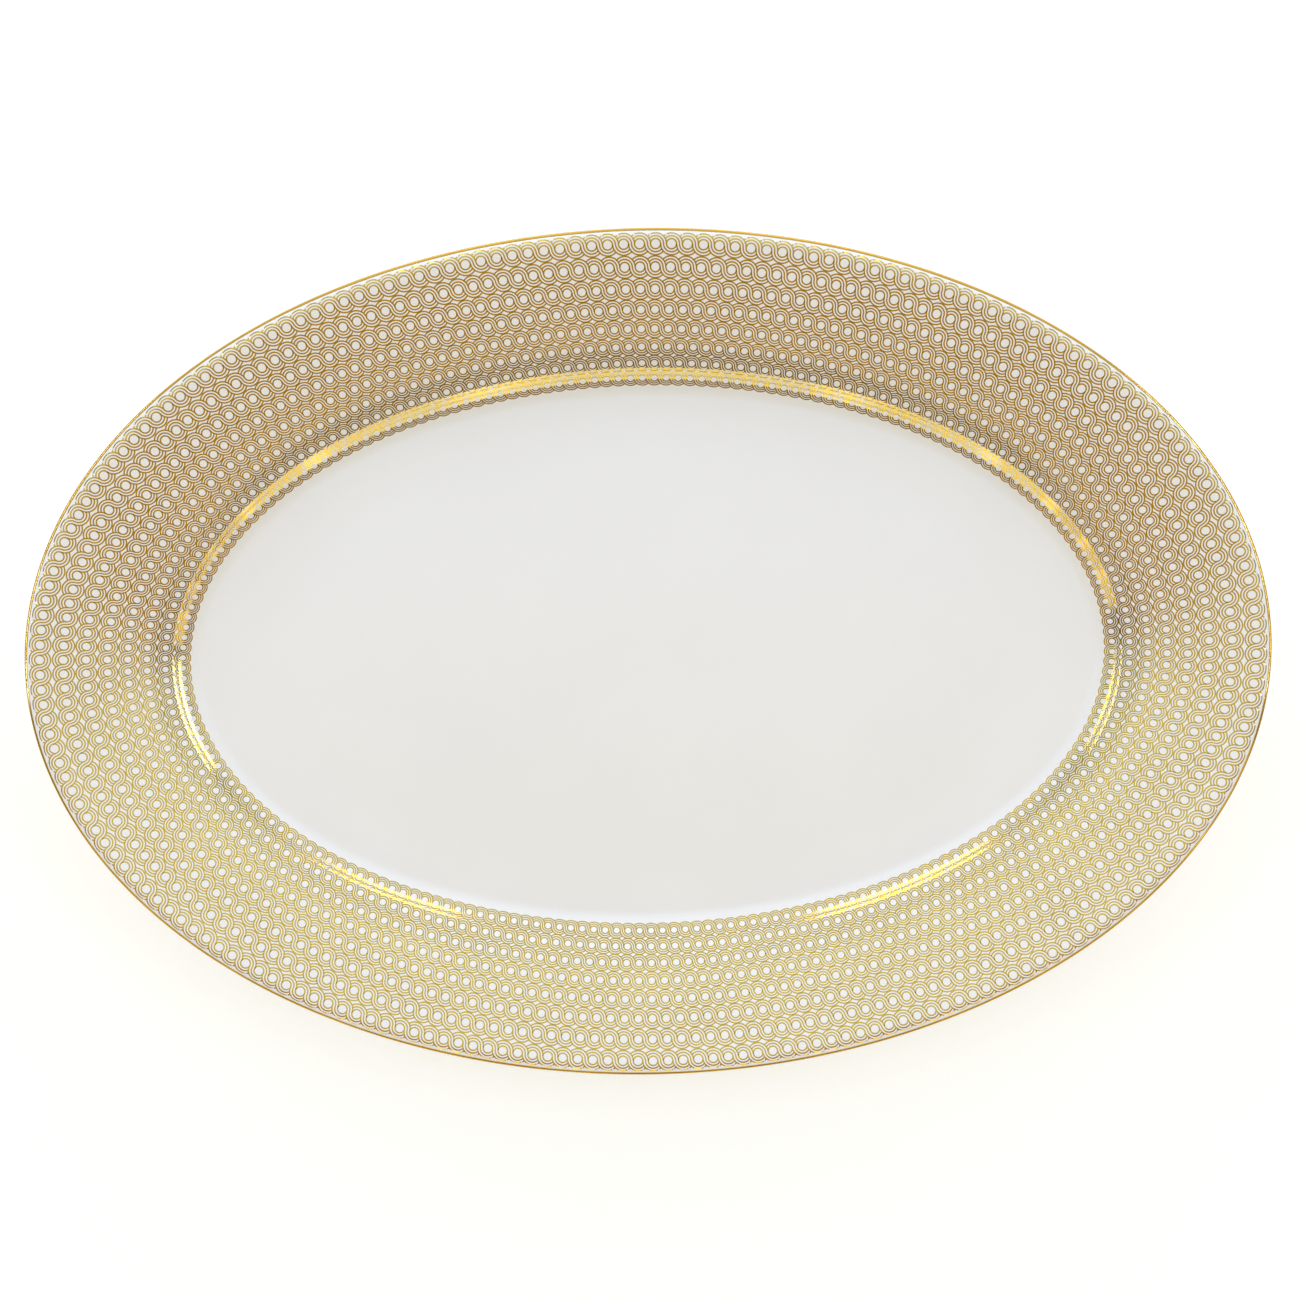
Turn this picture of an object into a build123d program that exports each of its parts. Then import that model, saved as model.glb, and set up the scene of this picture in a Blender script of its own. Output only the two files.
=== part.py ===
from build123d import *
import os

# Oval serving platter in porcelain with a gilded lip and eight printed gold guilloche rows.
# Millimetres, +Z up, +X along the length. The origin is at the centre of the bearing plane.

# overall size
LENGTH = 405.0
WIDTH = 276.4
HEIGHT = 25.6

# every horizontal section is an ellipse inset from the outline: by "inset" along X
# and by a little less along Y, which keeps the rim nearly even all round
Y_INSET_RATIO = 0.965

# foot ring standing below the base, inner wall first: (inset, height)
FOOT_STATIONS = [(59.8, 3.6), (58.9, 0.5), (58.3, 0.0), (55.3, 0.0), (54.7, 0.5), (54.1, 3.3)]

# underside from the foot ring out to the lip: (inset, height)
UNDERSIDE_STATIONS = [
    (53.4, 3.7),
    (50.5, 4.1),
    (48.4, 5.25),
    (45.8, 7.15),
    (43.1, 9.1),
    (40.8, 10.85),
    (38.4, 12.35),
    (36.1, 13.55),
    (30.7, 15.55),
    (24.7, 17.3),
    (18.4, 18.9),
    (11.5, 20.4),
    (4.6, 22.1),
    (1.6, 23.2),
]
UNDERSIDE_STEPS = 32

# thickness of the printed layer; on the crest of the rim it is the highest point
PRINT_THICKNESS = 0.25

# china under the gilding of the lip, and the outside of that gilding: (inset, height)
LIP_STATIONS = [(0.8, 23.5), (0.4, 23.77), (0.27, 24.1), (0.4, 24.38), (0.7, 24.58), (1.05, 24.74)]
GILDING_STATIONS = [(0.6, 23.35), (0.15, 23.65), (0.0, 24.05), (0.14, 24.48), (0.5, 24.72), (1.05, 24.92)]

# upper face, from the lip over the crest of the rim down to the flat of the well: (inset, height)
FACE_STATIONS = [
    (1.4, 24.95),
    (2.0, 25.2),
    (2.7, HEIGHT - PRINT_THICKNESS),
    (5.1, 25.0),
    (12.2, 23.55),
    (19.1, 22.1),
    (25.6, 20.5),
    (31.7, 18.7),
    (37.5, 16.55),
    (42.7, 13.6),
    (45.1, 11.82),
    (47.5, 9.98),
    (49.9, 8.75),
    (51.5, 8.2),
    (53.0, 8.0),
]
FACE_STEPS = 48

# printed guilloche rows on the upper face: inset of the limits between neighbouring
# rows, outermost first, with a hair of bare glaze left between two rows
ROW_LIMITS = [1.6, 8.8, 15.8, 22.4, 28.6, 34.4, 39.7, 44.5, 49.4]
ROW_GAP = 0.16

# two sections closer than this in height bound a flat face
FLAT_TOLERANCE = 1e-6


def ellipse(inset, height):
    """One horizontal elliptical section of the platter."""
    half_x = LENGTH / 2 - inset
    half_y = WIDTH / 2 - Y_INSET_RATIO * inset
    return Edge.make_ellipse(half_x, half_y, plane=Plane.XY.offset(height))


def flank(start, end):
    """Face between two sections: flat where both are at one height, ruled elsewhere."""
    if abs(start.center().Z - end.center().Z) > FLAT_TOLERANCE:
        return Face.make_surface_from_curves(start, end)
    inner, outer = sorted((Wire([start]), Wire([end])), key=lambda wire: wire.length)
    return Face(outer, [inner])


def flanks(edges):
    """Faces between consecutive sections."""
    return [flank(start, end) for start, end in zip(edges, edges[1:])]


def ring(stations):
    """Solid oval ring whose section is the closed loop of stations."""
    edges = [ellipse(inset, height) for inset, height in stations]
    return Solid(Shell(flanks(edges + edges[:1])))


def disc(stations):
    """Solid oval whose section runs from the centre below to the centre above."""
    edges = [ellipse(inset, height) for inset, height in stations]
    caps = [Face(Wire([edges[0]])), Face(Wire([edges[-1]]))]
    return Solid(Shell(flanks(edges) + caps))


def smooth(stations, steps):
    """Stations of a smooth curve through the given ones."""
    curve = Spline(*stations)
    points = [curve @ (step / steps) for step in range(steps + 1)]
    return [(point.X, point.Y) for point in points]


def height_at(face, inset):
    """Height of the upper face at an inset between two of its stations."""
    for (inset_0, height_0), (inset_1, height_1) in zip(face, face[1:]):
        if inset_0 <= inset <= inset_1:
            share = (inset - inset_0) / (inset_1 - inset_0)
            return height_0 + share * (height_1 - height_0)
    raise ValueError(f"no face at inset {inset}")


def make_body(face):
    """Porcelain: foot ring, underside, rim, verge and well in one fired piece."""
    underside = smooth(UNDERSIDE_STATIONS, UNDERSIDE_STEPS)
    return disc(FOOT_STATIONS + underside + LIP_STATIONS + face)


def make_edge_band():
    """Gilding wrapped over the crown and the outside of the lip."""
    return ring(GILDING_STATIONS + LIP_STATIONS[::-1])


def make_row(face, outer_limit, inner_limit):
    """Layer of print lying on the upper face between two insets."""
    inside = [station for station in face if outer_limit < station[0] < inner_limit]
    ends = [(inset, height_at(face, inset)) for inset in (outer_limit, inner_limit)]
    lower = ends[:1] + inside + ends[1:]
    upper = [(inset, height + PRINT_THICKNESS) for inset, height in lower]
    return ring(upper + lower[::-1])


def save(shape, node):
    shape.label = node
    export_step(shape, os.path.join("parts", node + ".step"))


def main():
    os.makedirs("parts", exist_ok=True)
    face = smooth(FACE_STATIONS, FACE_STEPS)
    save(make_body(face), "china_body")
    save(make_edge_band(), "gold_edge_band")
    limits = zip(ROW_LIMITS, ROW_LIMITS[1:])
    for number, (outer_limit, inner_limit) in enumerate(limits, start=1):
        row = make_row(face, outer_limit + ROW_GAP / 2, inner_limit - ROW_GAP / 2)
        save(row, f"guilloche_row_{number}")


main()
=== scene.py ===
import math

import bpy
import numpy as np
from mathutils import Matrix


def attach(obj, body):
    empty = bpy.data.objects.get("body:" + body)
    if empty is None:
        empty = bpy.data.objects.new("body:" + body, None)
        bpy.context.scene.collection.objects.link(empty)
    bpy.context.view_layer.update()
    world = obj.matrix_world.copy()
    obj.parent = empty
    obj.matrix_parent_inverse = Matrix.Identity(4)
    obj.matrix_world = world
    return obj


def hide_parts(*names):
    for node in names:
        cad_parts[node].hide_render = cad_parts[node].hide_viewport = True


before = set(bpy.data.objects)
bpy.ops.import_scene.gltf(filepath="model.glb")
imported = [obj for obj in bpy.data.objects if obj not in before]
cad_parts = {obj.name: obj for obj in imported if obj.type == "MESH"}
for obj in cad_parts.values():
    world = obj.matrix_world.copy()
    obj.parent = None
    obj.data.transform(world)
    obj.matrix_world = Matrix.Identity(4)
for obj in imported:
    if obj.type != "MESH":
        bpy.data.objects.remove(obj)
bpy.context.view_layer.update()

MM = 0.001
BODY = "root"

# ---------------------------------------------------------------- shape, in millimetres
HALF_LENGTH = 202.5
HALF_WIDTH = 138.2
# share of the inset along X by which a section is inset along Y
Y_INSET_RATIO = 0.965

# every station is (inset from the outline, height above the table)
FOOT = [
    (59.8, 3.6),
    (59.2, 1.6),
    (58.9, 0.5),
    (58.75, 0.15),
    (58.3, 0.0),
    (55.3, 0.0),
    (54.85, 0.15),
    (54.7, 0.5),
    (54.45, 1.8),
    (54.1, 3.3),
]
UNDERSIDE = [
    (53.4, 3.7),
    (50.5, 4.1),
    (48.4, 5.25),
    (45.8, 7.15),
    (43.1, 9.1),
    (40.8, 10.85),
    (38.4, 12.35),
    (36.1, 13.55),
    (30.7, 15.55),
    (24.7, 17.3),
    (18.4, 18.9),
    (11.5, 20.4),
    (4.6, 22.1),
    (1.6, 23.2),
]
LIP = [(0.8, 23.5), (0.4, 23.77), (0.27, 24.1), (0.4, 24.38), (0.7, 24.58), (1.0, 24.72)]
GILDING = [(0.6, 23.35), (0.15, 23.65), (0.0, 24.05), (0.14, 24.48), (0.5, 24.7), (1.0, 24.82)]
FACE = [
    (1.4, 24.95),
    (2.0, 25.2),
    (2.7, 25.33),
    (5.1, 25.0),
    (12.2, 23.55),
    (19.1, 22.1),
    (25.6, 20.5),
    (31.7, 18.7),
    (37.5, 16.55),
    (42.7, 13.6),
    (45.1, 11.82),
    (47.5, 9.98),
    (49.9, 8.75),
    (51.5, 8.2),
    (53.0, 8.0),
]
BASE_INSET, BASE_HEIGHT = FOOT[0]
WELL_INSET, WELL_HEIGHT = FACE[-1]
BODY_SEGMENTS = 720
# rings that divide the flat base and the flat well, as shares of their edge
FLAT_SHARES = [0.8, 0.6, 0.4, 0.2, 0.06]

GILDING_SEGMENTS = 1080
# depth of the inside of the gilding below the glaze
GILDING_SINK = 0.02
# waves of the gilding's inner limit: size, number round the oval, phase
GILDING_WAVES = [(0.05, 7, 1.0), (0.035, 19, 0.0), (0.02, 53, 2.0)]

# ---------------------------------------------------------------- guilloche rows
MOTIFS = 210
ROW_INSETS = [5.26, 12.37, 19.18, 25.57, 31.57, 37.16, 42.19, 46.8]
# millimetres across the row for one pitch of the pattern
ROW_UNITS = [4.8, 4.77, 4.53, 4.26, 3.98, 3.64, 3.31, 3.14]
# radii of the three lines of a strand round its eye, in pitches
LINE_RADII = [0.316, 0.5, 0.684]
# half width of a line in each row, in pitches
LINE_HALF_WIDTHS = np.linspace(0.05, 0.061, len(ROW_INSETS))
# share of a line's width that is flat on top
LINE_CROWN = 0.9
# rise of a line above the glaze and depth of its foot below it, in millimetres
LINE_HEIGHT = 0.02
LINE_SINK = 0.03
STRAND_POINTS = 13
# where the motifs sit round the oval, in radians: phase and evening-out terms
PHASE = 4.7326
SPREAD_1 = -0.0148
SPREAD_2 = 0.0916
SPREAD_2_PER_ROW = 0.00088
SPREAD_4 = 0.0091

# search for the oval section through a point
NEWTON_START = 25.0
NEWTON_STEPS = 6

# bake layout: empty margin along the length, half height of one side's half of the sheet
UV_MARGIN = 0.02
UV_HALF_HEIGHT = 0.47
# a face looks down when the Z of its normal is below this
DOWN_LIMIT = -1e-4


def catmull_rom(stations, steps):
    """Smooth curve through (inset, height) stations, with so many steps between two."""
    points = np.array(stations, float)
    ends = np.vstack([2 * points[0] - points[1], points, 2 * points[-1] - points[-2]])
    share = np.linspace(0, 1, steps, endpoint=False)[:, None]
    out = []
    for before, start, end, after in zip(ends, ends[1:], ends[2:], ends[3:]):
        slope_0 = (end - before) / 2
        slope_1 = (after - start) / 2
        out.append(
            start * (1 - 3 * share**2 + 2 * share**3)
            + end * (3 * share**2 - 2 * share**3)
            + slope_0 * (share - 2 * share**2 + share**3)
            + slope_1 * (share**3 - share**2)
        )
    out.append(points[-1:])
    return np.vstack(out)


FACE_CURVE = catmull_rom(FACE, 5)


def face_height(inset):
    """Height of the upper surface at an inset."""
    return np.interp(inset, FACE_CURVE[:, 0], FACE_CURVE[:, 1])


def half_axes(inset):
    """Half length and half width of the oval section at an inset."""
    return HALF_LENGTH - inset, HALF_WIDTH - Y_INSET_RATIO * inset


def inset_of(x, y):
    """Inset of the oval section through the points."""
    inset = np.full(np.shape(x), NEWTON_START)
    for _ in range(NEWTON_STEPS):
        a, b = half_axes(inset)
        value = (x / a) ** 2 + (y / b) ** 2 - 1
        slope = 2 * x**2 / a**3 + 2 * Y_INSET_RATIO * y**2 / b**3
        inset = inset - value / slope
    return inset


# ---------------------------------------------------------------- mesh helpers
def planar_uv(mesh):
    """Bake layout seen from above, with the faces that look down laid beside the others."""
    layer = mesh.uv_layers.new(name="OFBake")
    loops = len(mesh.loops)
    index = np.empty(loops, np.int32)
    mesh.loops.foreach_get("vertex_index", index)
    spots = np.empty(len(mesh.vertices) * 3)
    mesh.vertices.foreach_get("co", spots)
    spots = spots.reshape(-1, 3)[index]
    normals = np.empty(len(mesh.polygons) * 3)
    mesh.polygons.foreach_get("normal", normals)
    totals = np.empty(len(mesh.polygons), np.int32)
    mesh.polygons.foreach_get("loop_total", totals)
    down = np.repeat(normals.reshape(-1, 3)[:, 2] < DOWN_LIMIT, totals)
    scale = (1 - 2 * UV_MARGIN) / (2 * HALF_LENGTH * MM)
    u = 0.5 + spots[:, 0] * scale
    v = 0.5 * (0.5 + spots[:, 1] / (HALF_WIDTH * MM) * UV_HALF_HEIGHT) + np.where(down, 0.5, 0.0)
    layer.data.foreach_set("uv", np.stack([u, v], 1).ravel())


def make_object(name, vertices, faces, material, smooth=True):
    """Mesh object from vertices in millimetres, with its bake layout and material."""
    mesh = bpy.data.meshes.new(name)
    mesh.from_pydata(np.asarray(vertices) * MM, [], faces)
    mesh.update()
    if smooth:
        mesh.shade_smooth()
    planar_uv(mesh)
    mesh.materials.append(material)
    piece = bpy.data.objects.new(name, mesh)
    bpy.context.scene.collection.objects.link(piece)
    return piece


def oval_rings(insets, heights, segments):
    """Vertices of oval rings, one ring after another."""
    turn = np.linspace(0, 2 * math.pi, segments, endpoint=False)
    a, b = half_axes(np.asarray(insets)[:, None])
    x = a * np.cos(turn)
    y = b * np.sin(turn)
    z = np.broadcast_to(np.asarray(heights)[:, None], x.shape)
    return np.stack([x, y, z], -1).reshape(-1, 3)


def ring_faces(rings, segments, closed):
    """Quads between neighbouring rings; closed joins the last ring to the first."""
    first = np.arange(rings if closed else rings - 1)
    second = (first + 1) % rings
    step = np.arange(segments)
    after = (step + 1) % segments
    quads = np.stack(
        [
            first[:, None] * segments + step,
            first[:, None] * segments + after,
            second[:, None] * segments + after,
            second[:, None] * segments + step,
        ],
        -1,
    )
    return quads.reshape(-1, 4)


# ---------------------------------------------------------------- pieces
def make_china_body(material):
    """Foot ring, underside, lip, rim, verge and well of the one fired piece."""
    segments = BODY_SEGMENTS
    loop = np.vstack([FOOT, catmull_rom(UNDERSIDE, 2), catmull_rom(LIP, 2), FACE_CURVE])
    under = oval_rings([BASE_INSET], [BASE_HEIGHT], segments)
    top = oval_rings([WELL_INSET], [WELL_HEIGHT], segments)
    flat_rings_below = [under * [share, share, 1] for share in FLAT_SHARES[::-1]]
    flat_rings_above = [top * [share, share, 1] for share in FLAT_SHARES]
    sides = oval_rings(loop[:, 0], loop[:, 1], segments)
    vertices = np.vstack([*flat_rings_below, sides, *flat_rings_above])
    rings = len(vertices) // segments
    faces = ring_faces(rings, segments, closed=False).tolist()
    low, high = len(vertices), len(vertices) + 1
    vertices = np.vstack([vertices, [[0, 0, BASE_HEIGHT], [0, 0, WELL_HEIGHT]]])
    last = (rings - 1) * segments
    for step in range(segments):
        after = (step + 1) % segments
        faces.append((low, after, step))
        faces.append((high, last + step, last + after))
    return make_object("china_glazed_body", vertices, faces, material)


def make_edge_gilding(material):
    """Gold painted round the lip; its inner limit wanders a little, as a brushed line does."""
    segments = GILDING_SEGMENTS
    outside = catmull_rom(GILDING, 3)
    inside = np.array(LIP[::-1]) - [0.0, GILDING_SINK]
    loop = np.vstack([outside, inside])
    vertices = oval_rings(loop[:, 0], loop[:, 1], segments).reshape(len(loop), segments, 3)
    turn = np.linspace(0, 2 * math.pi, segments, endpoint=False)
    wander = sum(size * np.sin(waves * turn + phase) for size, waves, phase in GILDING_WAVES)
    inward = np.stack([-np.cos(turn), -np.sin(turn), 0 * turn], -1)
    inner_limit = (len(outside) - 1, len(outside))
    for ring in inner_limit:
        vertices[ring] += wander[:, None] * inward
    faces = ring_faces(len(loop), segments, closed=True).tolist()
    return make_object("gilded_edge_line", vertices.reshape(-1, 3), faces, material)


def start_angle(radius):
    """Angle at which an arc comes out from under the outermost line of the eye beside it."""
    return math.acos((LINE_RADII[-1] ** 2 - radius**2 - 1) / (2 * radius))


def strand_line(radius):
    """One gold line of a strand over one motif: over its own eye, then under the next one."""
    other = 1.0 - radius
    over = np.linspace(start_angle(radius), 0, STRAND_POINTS)
    under = np.linspace(0, start_angle(other), STRAND_POINTS)[1:]
    first = np.stack([radius * np.cos(over), radius * np.sin(over)], -1)
    second = np.stack([1 - other * np.cos(under), -other * np.sin(under)], -1)
    return np.vstack([first, second])


def ribbon_section(path, half_width):
    """Points of a low ridge along the path: (along, across, height above the glaze)."""
    direction = np.gradient(path, axis=0)
    direction /= np.linalg.norm(direction, axis=1)[:, None]
    side = np.stack([-direction[:, 1], direction[:, 0]], -1)
    profile = [
        (-1.0, -LINE_SINK),
        (-LINE_CROWN, LINE_HEIGHT),
        (LINE_CROWN, LINE_HEIGHT),
        (1.0, -LINE_SINK),
    ]
    rails = []
    for across, height in profile:
        rail = path + side * across * half_width
        rails.append(np.column_stack([rail, np.full(len(rail), height)]))
    return np.stack(rails, 1)


def ribbon_faces(steps, corners):
    """Quads round and along one ridge, with its two ends closed."""
    faces = []
    for step in range(steps - 1):
        for corner in range(corners):
            after = (corner + 1) % corners
            a, b = step * corners, (step + 1) * corners
            faces.append((a + corner, a + after, b + after, b + corner))
    faces.append(tuple(reversed(range(corners))))
    faces.append(tuple((steps - 1) * corners + corner for corner in range(corners)))
    return np.array(faces)


def place_motifs(row, pattern):
    """Lays the pattern (pitches along, units across, height) of every motif on the rim."""
    motif = np.arange(MOTIFS)[:, None]
    along = 2 * math.pi * (motif + pattern[:, 0]) / MOTIFS + PHASE
    spread_2 = SPREAD_2 + SPREAD_2_PER_ROW * row
    evening = SPREAD_1 * np.sin(along) + spread_2 * np.sin(2 * along) + SPREAD_4 * np.sin(4 * along)
    turn = -(along + evening)
    a, b = half_axes(ROW_INSETS[row])
    x, y = a * np.cos(turn), b * np.sin(turn)
    length = np.hypot(b * np.cos(turn), a * np.sin(turn))
    out_x, out_y = b * np.cos(turn) / length, a * np.sin(turn) / length
    offset = pattern[:, 1] * ROW_UNITS[row]
    x, y = x + offset * out_x, y + offset * out_y
    z = face_height(inset_of(x, y)) + pattern[:, 2]
    return np.stack([x, y, z], -1)


def make_guilloche_row(row, material):
    """One closed rope of gold lines: the two strands cross between every two eyes."""
    blocks, faces, offset = [], [], 0
    for radius in LINE_RADII:
        section = ribbon_section(strand_line(radius), LINE_HALF_WIDTHS[row])
        steps, corners = section.shape[:2]
        placed = place_motifs(row, section.reshape(-1, 3))
        blocks.append(placed.reshape(-1, 3))
        one = ribbon_faces(steps, corners)
        starts = offset + np.arange(MOTIFS) * steps * corners
        faces.append((starts[:, None, None] + one).reshape(-1, 4))
        offset += MOTIFS * steps * corners
    name = f"guilloche_print_row_{row + 1}"
    return make_object(name, np.vstack(blocks), np.vstack(faces).tolist(), material, smooth=False)


# ---------------------------------------------------------------- materials
# each surface varies a little between a darker and a lighter tone, and between two roughnesses
CHINA_TONES = ((0.885, 0.881, 0.903), (0.903, 0.9, 0.921))
CHINA_ROUGHNESS = (0.05, 0.075)
CHINA_IOR = 1.52
LIP_TONES = ((0.56, 0.33, 0.02), (0.64, 0.385, 0.035))
LIP_ROUGHNESS = (0.08, 0.14)
PRINT_TONES = ((0.5, 0.33, 0.015), (0.56, 0.375, 0.025))
PRINT_ROUGHNESS = (0.07, 0.11)
FLUX_ROUGHNESS = 0.06
# most values of the noise lie between these
NOISE_SPAN = (0.3, 0.7)

FLOOR_WHITE = (0.94, 0.94, 0.94)
WALL_GREY = (0.68, 0.69, 0.71)
# heights above the floor, in metres, between which the paper turns grey
GREY_SPAN = (0.02, 0.4)
FLOOR_ROUGHNESS = 0.9
FLOOR_SPECULAR = 0.1
FLOOR_GLOW = 0.22


def new_material(name):
    """Material with nodes: itself, its nodes, its links and its shader."""
    material = bpy.data.materials.new(name)
    material.use_nodes = True
    nodes = material.node_tree.nodes
    return material, nodes, material.node_tree.links, nodes["Principled BSDF"]


def noise(nodes, links, scale, detail=3.0):
    """Noise in object space; scale is per metre."""
    place = nodes.new("ShaderNodeTexCoord")
    texture = nodes.new("ShaderNodeTexNoise")
    texture.inputs["Scale"].default_value = scale
    texture.inputs["Detail"].default_value = detail
    links.new(place.outputs["Object"], texture.inputs["Vector"])
    return texture.outputs["Fac"]


def blend_colours(nodes, links, value, tones, span=NOISE_SPAN):
    """Colour between two tones, by where the value lies in the span."""
    blend = nodes.new("ShaderNodeValToRGB")
    for element, tone, position in zip(blend.color_ramp.elements, tones, span):
        element.position = position
        element.color = (*tone, 1.0)
    links.new(value, blend.inputs["Fac"])
    return blend.outputs["Color"]


def map_range(nodes, links, value, source, target, smooth=False):
    """Number carried from the source range to the target range."""
    remap = nodes.new("ShaderNodeMapRange")
    if smooth:
        remap.interpolation_type = "SMOOTHSTEP"
    for name, number in zip(("From Min", "From Max", "To Min", "To Max"), (*source, *target)):
        remap.inputs[name].default_value = number
    links.new(value, remap.inputs["Value"])
    return remap.outputs["Result"]


def bump(nodes, links, shader, height, strength, distance):
    """Faint unevenness of the surface; distance is in metres."""
    node = nodes.new("ShaderNodeBump")
    node.inputs["Strength"].default_value = strength
    node.inputs["Distance"].default_value = distance
    links.new(height, node.inputs["Height"])
    links.new(node.outputs["Normal"], shader.inputs["Normal"])


def china_material():
    """White glazed bone china: glossy, very slightly uneven in colour and surface."""
    material, nodes, links, shader = new_material("bone_china_glaze")
    cloud = noise(nodes, links, scale=22.0)
    links.new(blend_colours(nodes, links, cloud, CHINA_TONES), shader.inputs["Base Color"])
    roughness = map_range(nodes, links, cloud, NOISE_SPAN, CHINA_ROUGHNESS)
    links.new(roughness, shader.inputs["Roughness"])
    shader.inputs["IOR"].default_value = CHINA_IOR
    shader.inputs["Subsurface Weight"].default_value = 0.0
    ripple = noise(nodes, links, scale=120.0, detail=2.0)
    bump(nodes, links, shader, ripple, strength=0.04, distance=0.0004)
    return material


def gold_material(name, tones, roughness_range):
    """Fired bright gold under a clear flux: metallic, with a faint unevenness."""
    material, nodes, links, shader = new_material(name)
    cloud = noise(nodes, links, scale=60.0)
    links.new(blend_colours(nodes, links, cloud, tones), shader.inputs["Base Color"])
    roughness = map_range(nodes, links, cloud, NOISE_SPAN, roughness_range)
    links.new(roughness, shader.inputs["Roughness"])
    shader.inputs["Metallic"].default_value = 1.0
    shader.inputs["Coat Weight"].default_value = 1.0
    shader.inputs["Coat Roughness"].default_value = FLUX_ROUGHNESS
    ripple = noise(nodes, links, scale=1500.0, detail=2.0)
    bump(nodes, links, shader, ripple, strength=0.08, distance=0.00003)
    return material


def floor_material():
    """White paper on the floor, pale grey where it sweeps up into the wall."""
    material, nodes, links, shader = new_material("studio_floor_paper")
    place = nodes.new("ShaderNodeTexCoord")
    parts = nodes.new("ShaderNodeSeparateXYZ")
    links.new(place.outputs["Object"], parts.inputs["Vector"])
    paper = blend_colours(nodes, links, parts.outputs["Z"], (FLOOR_WHITE, WALL_GREY), GREY_SPAN)
    links.new(paper, shader.inputs["Base Color"])
    links.new(paper, shader.inputs["Emission Color"])
    shader.inputs["Roughness"].default_value = FLOOR_ROUGHNESS
    shader.inputs["Specular IOR Level"].default_value = FLOOR_SPECULAR
    shader.inputs["Emission Strength"].default_value = FLOOR_GLOW
    return material


# ---------------------------------------------------------------- studio
# light of the sky by its direction along Y, from the front (-1) over the top (0) to the back (+1)
SKY = [
    (-0.92, (0.42, 0.31, 0.1)),
    (-0.78, (0.42, 0.31, 0.1)),
    (-0.6, (0.66, 0.485, 0.1)),
    (-0.27, (0.66, 0.485, 0.1)),
    (0.04, (1.06, 1.15, 1.34)),
    (0.3, (1.1, 1.23, 1.36)),
    (0.6, (1.0, 1.11, 1.16)),
]
# the sky dims to this level at the horizon, below this sine of the elevation
HORIZON_LEVEL = 0.3
HORIZON_TOP = 0.6
# it dims to this level at the two sides, from this direction along X outwards
SIDE_START = 0.3
SIDE_LEVEL = 0.42
# plain grey that the camera sees above the sweep of the floor in a low view
BACKDROP = (0.55, 0.55, 0.54)

# floor that sweeps up into a wall, in metres
FLOOR_CENTRE_RADIUS = 0.3
FLOOR_RADIUS = 2.2
SWEEP_DEPTH = 1.2
SWEEP_HEIGHT = 1.45
SWEEP_SEGMENTS = 96
SWEEP_STEPS = 16

# every lamp is this far from the centre of the platter, in metres
LAMP_DISTANCE = 1.6

# low arc of front panels: turns in degrees from -Y, elevation in the middle and its rise
ARC_PANELS = 12
ARC_START = -57.0
ARC_STEP = 11.0
ARC_LOW = 21.0
ARC_RISE = 0.36
ARC_SIZE = (0.35, 0.17)
ARC_RADIANCE = 1.02
ARC_COLOUR = (1.0, 0.91, 0.52)

# strips: name, azimuth, elevation, size, radiance, colour
STRIPS = [
    ("far_strip", 90, 16, (4.4, 0.5), 1.7, (1.0, 0.95, 0.97)),
    ("right_strip", 12, 36.5, (1.15, 0.026), 18.0, (0.85, 0.93, 1.35)),
    ("left_strip", 167, 33.8, (1.1, 0.028), 18.0, (0.85, 0.93, 1.35)),
    ("far_right_strip", 73, 30, (0.4, 0.03), 6.0, (1.0, 0.9, 0.6)),
    ("far_left_strip", 107, 30, (0.4, 0.03), 6.0, (1.0, 0.9, 0.6)),
]

# camera: its right and backward directions, its place and its film and lens in millimetres
CAMERA_RIGHT = (0.9997, -0.02287, -0.00867)
CAMERA_BACK = (0.01083, 0.09622, 0.9953)
CAMERA_PLACE = (6.296, 46.102, 453.37)
CAMERA_FILM = 36.0
CAMERA_LENS = 36.80
CAMERA_NEAREST = 0.01


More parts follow.
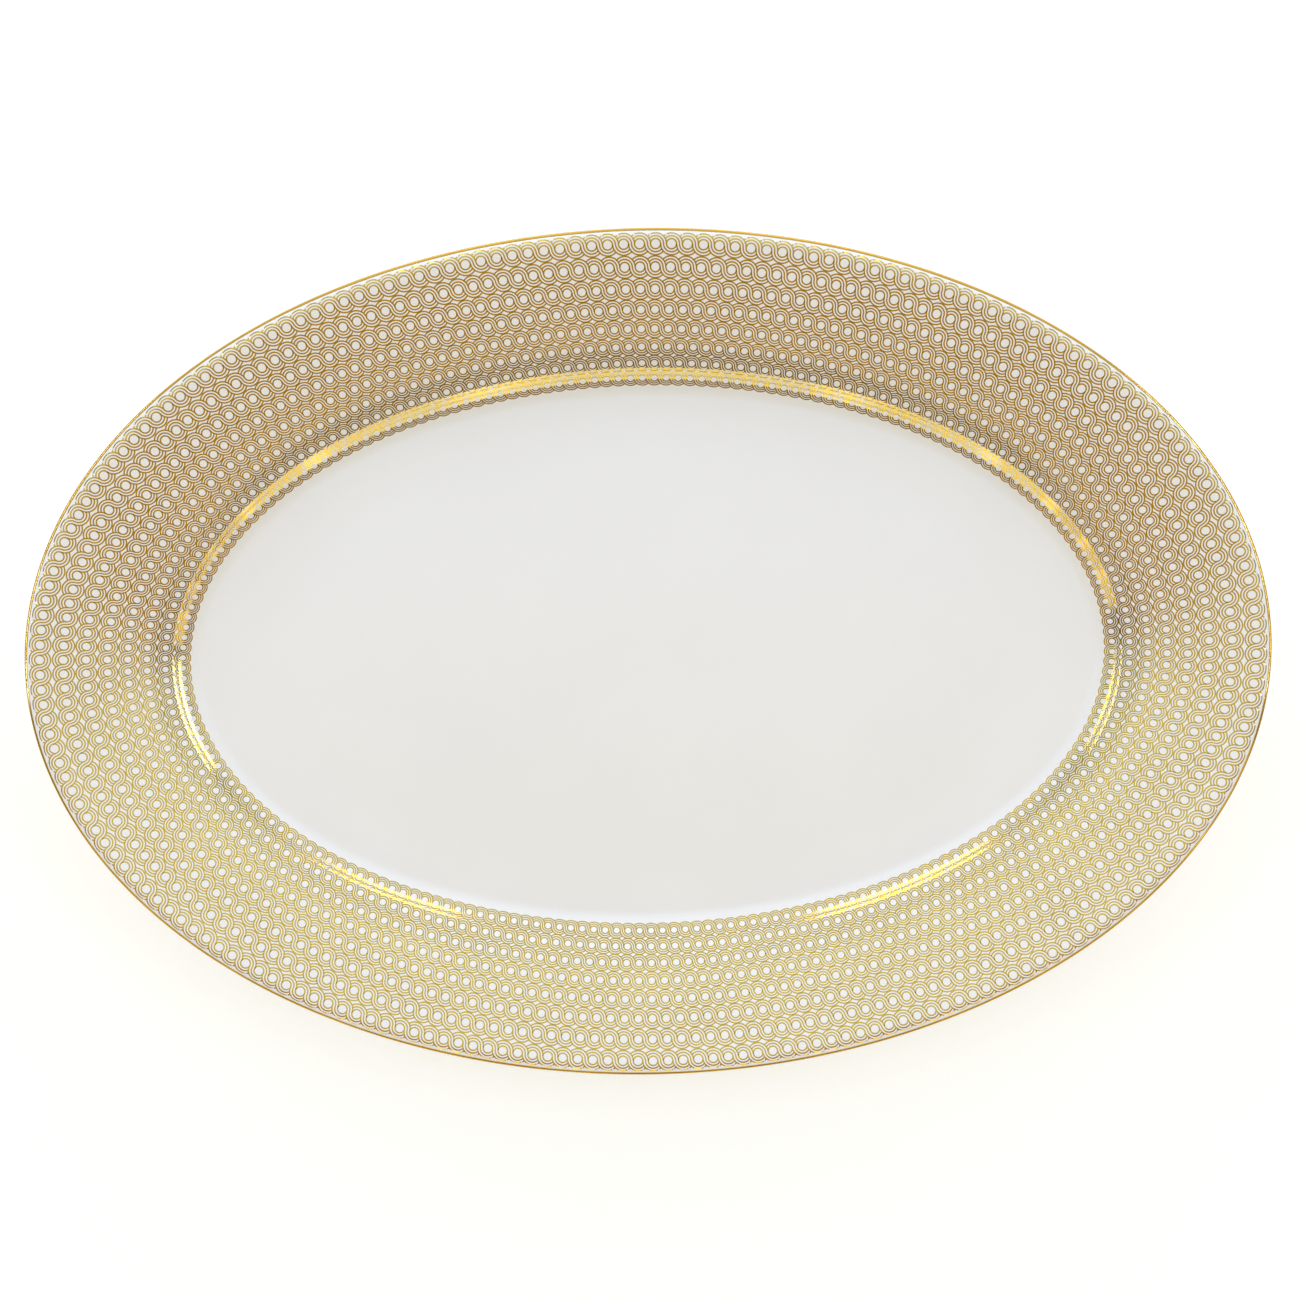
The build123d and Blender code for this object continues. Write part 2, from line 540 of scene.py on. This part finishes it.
def make_world():
    """Soft sky, warm and dim in front and bright overhead; the camera sees a plain grey instead."""
    world = bpy.data.worlds.new("studio_world")
    world.use_nodes = True
    nodes, links = world.node_tree.nodes, world.node_tree.links
    sky = nodes["Background"]
    direction = nodes.new("ShaderNodeTexCoord")
    parts = nodes.new("ShaderNodeSeparateXYZ")
    links.new(direction.outputs["Generated"], parts.inputs["Vector"])

    front_to_back = map_range(nodes, links, parts.outputs["Y"], (-1.0, 1.0), (0.0, 1.0))
    colours = nodes.new("ShaderNodeValToRGB")
    colours.color_ramp.interpolation = "EASE"
    while len(colours.color_ramp.elements) < len(SKY):
        colours.color_ramp.elements.new(0.5)
    for element, (y, colour) in zip(colours.color_ramp.elements, SKY):
        element.position = (y + 1.0) / 2.0
        element.color = (*colour, 1.0)
    links.new(front_to_back, colours.inputs["Fac"])
    links.new(colours.outputs["Color"], sky.inputs["Color"])

    rising = map_range(
        nodes, links, parts.outputs["Z"], (0.0, HORIZON_TOP), (HORIZON_LEVEL, 1.0), smooth=True
    )
    aside = nodes.new("ShaderNodeMath")
    aside.operation = "ABSOLUTE"
    links.new(parts.outputs["X"], aside.inputs[0])
    sideways = map_range(
        nodes, links, aside.outputs["Value"], (SIDE_START, 1.0), (1.0, SIDE_LEVEL), smooth=True
    )
    level = nodes.new("ShaderNodeMath")
    level.operation = "MULTIPLY"
    links.new(rising, level.inputs[0])
    links.new(sideways, level.inputs[1])
    links.new(level.outputs["Value"], sky.inputs["Strength"])

    backdrop = nodes.new("ShaderNodeBackground")
    backdrop.inputs["Color"].default_value = (*BACKDROP, 1.0)
    ray = nodes.new("ShaderNodeLightPath")
    choice = nodes.new("ShaderNodeMixShader")
    links.new(ray.outputs["Is Camera Ray"], choice.inputs["Fac"])
    links.new(sky.outputs["Background"], choice.inputs[1])
    links.new(backdrop.outputs["Background"], choice.inputs[2])
    links.new(choice.outputs["Shader"], nodes["World Output"].inputs["Surface"])
    bpy.context.scene.world = world


def set_pose(thing, right, back, place):
    """Turns and places a lamp or the camera, which look against the back direction."""
    pose = np.eye(4)
    pose[:3, 0] = right
    pose[:3, 1] = np.cross(back, right)
    pose[:3, 2] = back
    pose[:3, 3] = place
    thing.matrix_world = Matrix(pose.tolist())


def panel_light(name, azimuth, elevation, size, radiance, colour):
    """Soft rectangular light aimed at the platter. Azimuth 0 is +X and 90 is +Y."""
    data = bpy.data.lights.new(name, "AREA")
    data.shape = "RECTANGLE"
    data.size, data.size_y = size
    data.energy = radiance * math.pi * size[0] * size[1]
    data.color = colour
    light = bpy.data.objects.new(name, data)
    bpy.context.scene.collection.objects.link(light)
    az, el = math.radians(azimuth), math.radians(elevation)
    back = np.array([math.cos(az) * math.cos(el), math.sin(az) * math.cos(el), math.sin(el)])
    right = np.array([-math.sin(az), math.cos(az), 0.0])
    set_pose(light, right, back, back * LAMP_DISTANCE)


def make_front_arc():
    """Low arc of warm panels in front that rises towards both ends."""
    for step in range(ARC_PANELS):
        turn = ARC_START + step * ARC_STEP
        elevation = ARC_LOW + ARC_RISE * (turn / ARC_STEP) ** 2
        name = f"front_arc_{step + 1}"
        panel_light(name, turn - 90.0, elevation, ARC_SIZE, ARC_RADIANCE, ARC_COLOUR)


def make_strips():
    """Far fill light, and thin strips that draw the streaks on the verge."""
    for strip in STRIPS:
        panel_light(*strip)


def make_camera():
    """Looks almost straight down from over the far half of the oval, a little to the front."""
    data = bpy.data.cameras.new("camera")
    data.sensor_width = CAMERA_FILM
    data.lens = CAMERA_LENS
    data.clip_start = CAMERA_NEAREST
    camera = bpy.data.objects.new("camera", data)
    bpy.context.scene.collection.objects.link(camera)
    set_pose(camera, CAMERA_RIGHT, CAMERA_BACK, np.array(CAMERA_PLACE) * MM)
    bpy.context.scene.camera = camera


def make_floor():
    """Pale floor that sweeps up into a low wall all round."""
    turns = np.linspace(0.0, 2.0 * np.pi, SWEEP_SEGMENTS, endpoint=False)
    bend = np.linspace(0.0, np.pi / 2.0, SWEEP_STEPS)
    radii = np.append(FLOOR_CENTRE_RADIUS, FLOOR_RADIUS + SWEEP_DEPTH * np.sin(bend))
    heights = np.append(0.0, SWEEP_HEIGHT * (1.0 - np.cos(bend)))
    rings = [
        np.column_stack([radius * np.cos(turns), radius * np.sin(turns), np.full(SWEEP_SEGMENTS, z)])
        for radius, z in zip(radii, heights)
    ]
    faces = [tuple(range(SWEEP_SEGMENTS))]
    for ring in range(len(rings) - 1):
        first = ring * SWEEP_SEGMENTS
        for step in range(SWEEP_SEGMENTS):
            here = first + step
            after = first + (step + 1) % SWEEP_SEGMENTS
            faces.append((here, here + SWEEP_SEGMENTS, after + SWEEP_SEGMENTS, after))
    mesh = bpy.data.meshes.new("studio_floor")
    mesh.from_pydata(np.vstack(rings).tolist(), [], faces)
    mesh.materials.append(floor_material())
    mesh.shade_smooth()
    floor = bpy.data.objects.new("studio_floor", mesh)
    bpy.context.scene.collection.objects.link(floor)


# ---------------------------------------------------------------- build
china = china_material()
lip_gold = gold_material("lip_gold", LIP_TONES, LIP_ROUGHNESS)
print_gold = gold_material("print_gold", PRINT_TONES, PRINT_ROUGHNESS)

body = make_china_body(china)
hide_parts("china_body")
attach(body, BODY)

edge = make_edge_gilding(lip_gold)
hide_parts("gold_edge_band")
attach(edge, BODY)

for row_number in range(len(ROW_INSETS)):
    rope = make_guilloche_row(row_number, print_gold)
    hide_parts(f"guilloche_row_{row_number + 1}")
    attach(rope, BODY)

make_world()
make_floor()
make_front_arc()
make_strips()
make_camera()
bpy.context.scene.view_settings.view_transform = "Standard"
